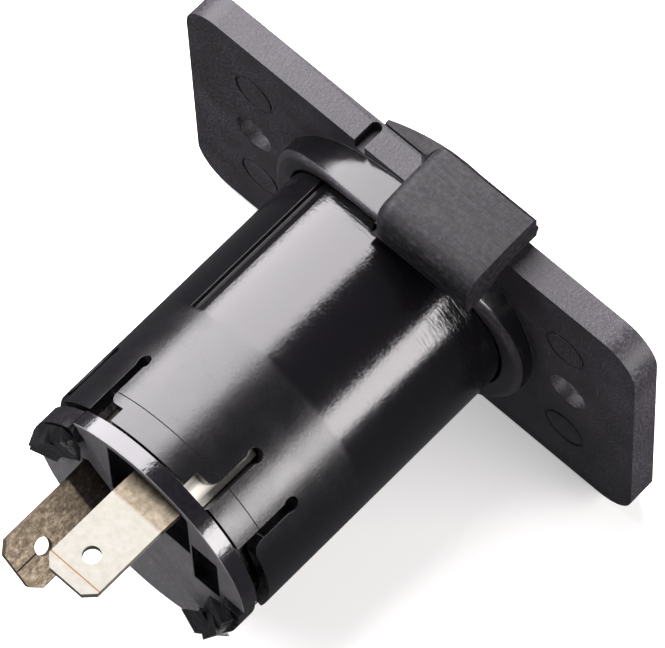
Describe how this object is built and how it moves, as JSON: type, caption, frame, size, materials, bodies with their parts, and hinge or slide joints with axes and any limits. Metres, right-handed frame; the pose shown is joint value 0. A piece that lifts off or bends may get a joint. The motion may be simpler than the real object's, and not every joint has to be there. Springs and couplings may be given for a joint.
{
  "type": "vehicle accessory power socket",
  "caption": "Panel-mount vehicle accessory power socket: rectangular screw plate, hinged spring lid, snap-fingered clamping sleeve round a plated contact shell, flat blade terminals behind.",
  "frame": {"origin": "on the barrel's axis, in the rear face of the mounting plate, midway between the two screw holes", "axes": "+Y along the barrel towards the blade terminals (the plug goes in from -Y), +Z towards the lid's hinge, +X along the length of the plate"},
  "size_m": [0.0588, 0.0566, 0.0376],
  "materials": {
    "plate_nylon": "fine moulded grain, satin",
    "black_abs": "glossy moulded black",
    "nickel_plate": "bright nickel plate",
    "sleeve_acetal": "high-gloss moulded black",
    "grey_phenolic": "matt grey moulding",
    "bracket_nylon": "satin black-brown moulding with drawn streaks",
    "steel": "plain zinc-plated steel",
    "spring_steel": "oiled spring steel",
    "lid_abs": "fine-grained black moulding",
    "rubber": "matt black rubber",
    "tinned_brass": "bright tin plate over brass",
    "aged_brass": "dull tarnished plate, speckled",
    "brass": "turned brass",
    "fibre": "pressed red-brown fibre"
  },
  "bodies": {
    "socket": {"mounting_plate": "plate_nylon", "front_body": "black_abs", "contact_shell": "nickel_plate", "clamping_sleeve": "sleeve_acetal", "rear_cap": "grey_phenolic", "hinge_bracket": "bracket_nylon", "hinge_pin": "steel", "lid_spring": "spring_steel", "ground_terminal": "tinned_brass", "ground_rivet": "steel", "positive_terminal": "aged_brass", "contact_bush": "brass", "lock_washer": "spring_steel", "contact_spring": "spring_steel", "spring_seat": "steel", "insulating_washer": "fibre", "shell_gasket": "rubber"},
    "lid": {"lid": "lid_abs", "lid_seal": "rubber"},
    "centre_contact": {"contact_button": "brass"}
  },
  "joints": [
    {"name": "lid_hinge", "type": "hinge", "parent": "socket", "child": "lid", "pos_m": [0, -0.0045, 0.015], "axis": [-1, 0, 0], "range_deg": [0, 95], "stiffness_Nm_per_rad": 0.008, "springref_deg": -68.75, "deforming": ["lid_spring"]},
    {"name": "contact_slide", "type": "slide", "parent": "socket", "child": "centre_contact", "axis": [0, 1, 0], "range_m": [0, 0.0018], "stiffness_N_per_m": 1500, "springref_m": -0.001, "deforming": ["contact_spring"]}
  ]
}
